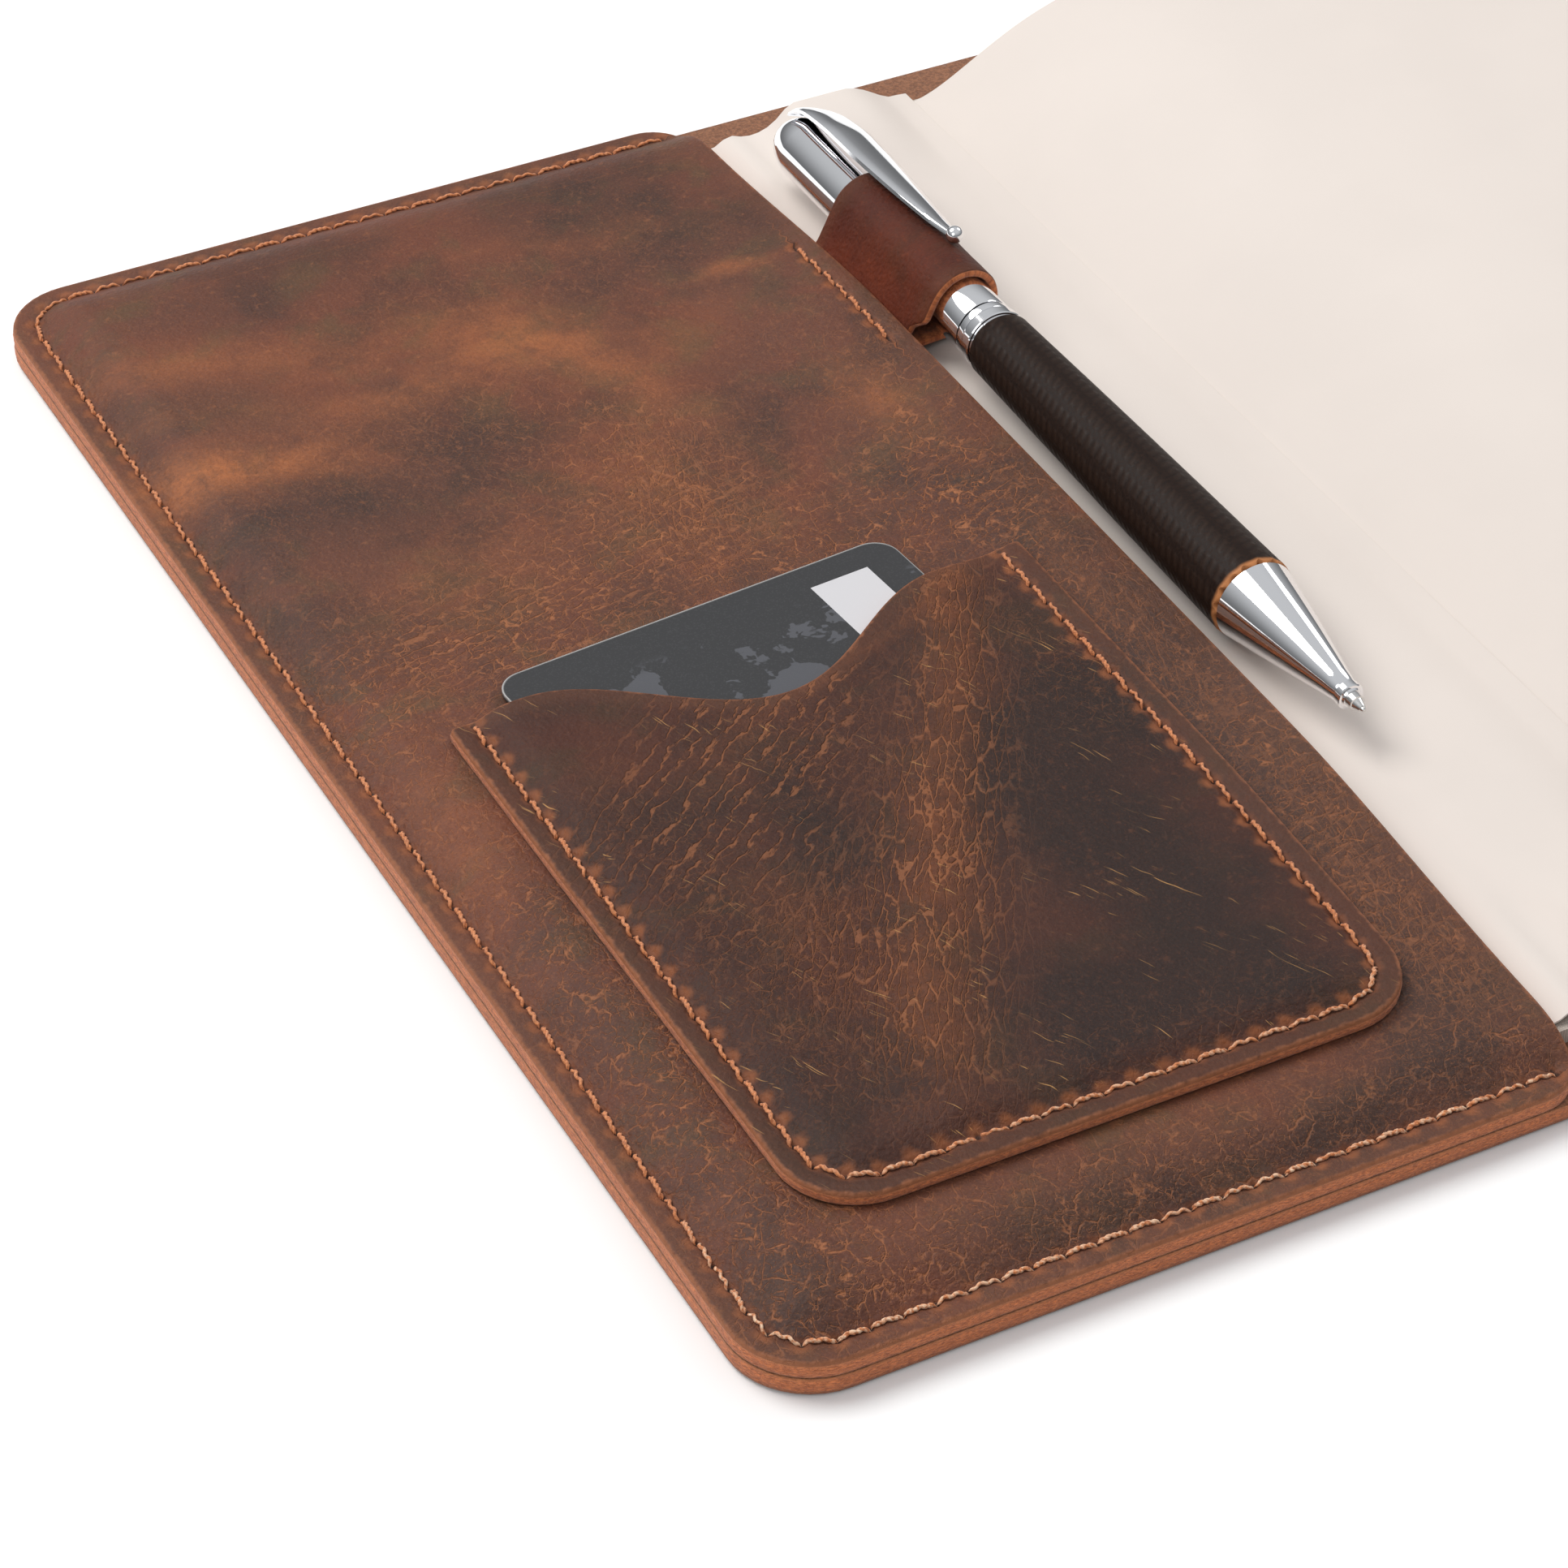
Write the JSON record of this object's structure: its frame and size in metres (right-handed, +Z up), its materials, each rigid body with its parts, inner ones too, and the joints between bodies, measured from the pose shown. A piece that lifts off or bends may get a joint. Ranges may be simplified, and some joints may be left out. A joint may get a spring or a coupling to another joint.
{
  "type": "leather notebook cover",
  "caption": "Sewn leather notebook cover, open flat, with inner flaps, card pocket and pen loop, holding a hardback notebook, a twist pen and a card.",
  "frame": {"origin": "on the table, under the middle of the spine", "axes": "+X across the open cover towards the page block, +Y along the spine towards the far end, +Z up from the table"},
  "size_m": [0.282, 0.22, 0.0203],
  "materials": {
    "outer_leather": "oiled pull-up leather, dark brown, matt with a soft sheen",
    "inner_leather": "oiled pull-up leather with orange-brown marks and fine veins",
    "pocket_leather": "oiled pull-up leather, creased over the card",
    "loop_leather": "thinner reddish-brown leather with a raw orange rim",
    "stitching": "waxed twisted thread, light orange",
    "board": "cloth-grained binding board",
    "paper": "smooth cream endpaper",
    "pages": "cut edges of cream pages",
    "card_plastic": "dark grey laminated card with a light core",
    "chrome": "polished chrome",
    "brass": "turned brass",
    "sleeve_leather": "dark olive-brown embossed leather",
    "refill_steel": "drawn steel tube with a ball tip"
  },
  "bodies": {
    "root": {"cover_back_panel": "outer_leather", "back_flap": "inner_leather", "back_seam": "stitching", "notebook_back_board": "board", "back_endpaper": "paper", "text_block": "pages"},
    "spine": {"cover_spine_panel": "outer_leather", "notebook_spine": "board", "text_block_gutter": "pages"},
    "front_half": {"cover_front_panel": "outer_leather", "front_flap": "inner_leather", "front_seam": "stitching", "card_pocket": "pocket_leather", "pocket_seam": "stitching", "pen_loop": "loop_leather", "loop_seam": "stitching", "notebook_front_board": "board", "front_endpaper": "paper"},
    "card": {"card": "card_plastic"},
    "pen_upper": {"pen_cap": "chrome", "pen_center_ring": "chrome", "pen_twist_mechanism": "brass"},
    "clip": {"pen_clip": "chrome"},
    "pen_lower": {"pen_leather_sleeve": "sleeve_leather", "pen_barrel_tube": "brass", "pen_cone": "chrome"},
    "refill": {"pen_refill": "refill_steel"}
  },
  "joints": [
    {"name": "spine_fold", "type": "hinge", "parent": "root", "child": "spine", "pos_m": [0.012, 0, 0.00485], "axis": [0, 1, 0], "range_deg": [0, 86]},
    {"name": "front_fold", "type": "hinge", "parent": "spine", "child": "front_half", "pos_m": [-0.012, 0, 0.00485], "axis": [0, 1, 0], "range_deg": [0, 76.5]},
    {"name": "card_slide", "type": "slide", "parent": "front_half", "child": "card", "axis": [-0.0837, 0.9965, 0], "range_m": [0, 0.08]},
    {"name": "pen_slide", "type": "slide", "parent": "front_half", "child": "pen_upper", "axis": [0, 1, 0], "range_m": [0, 0.122]},
    {"name": "clip_flex", "type": "hinge", "parent": "pen_upper", "child": "clip", "pos_m": [-0.03341, 0.087, 0.01554], "axis": [-0.9135, 0, 0.4067], "range_deg": [0, 3], "stiffness_Nm_per_rad": 0.6},
    {"name": "barrel_twist", "type": "hinge", "parent": "pen_upper", "child": "pen_lower", "pos_m": [-0.0351, 0.0323, 0.01175], "axis": [0, 1, 0], "range_deg": [0, 180]},
    {"name": "refill_advance", "type": "slide", "parent": "pen_lower", "child": "refill", "axis": [0, 1, 0], "range_m": [0, 0.006]}
  ],
  "couplings": [
    {"joint": "front_fold", "follows": "spine_fold", "ratio": 0.889},
    {"joint": "barrel_twist", "follows": "refill_advance", "rad_per_m": 523.6}
  ]
}
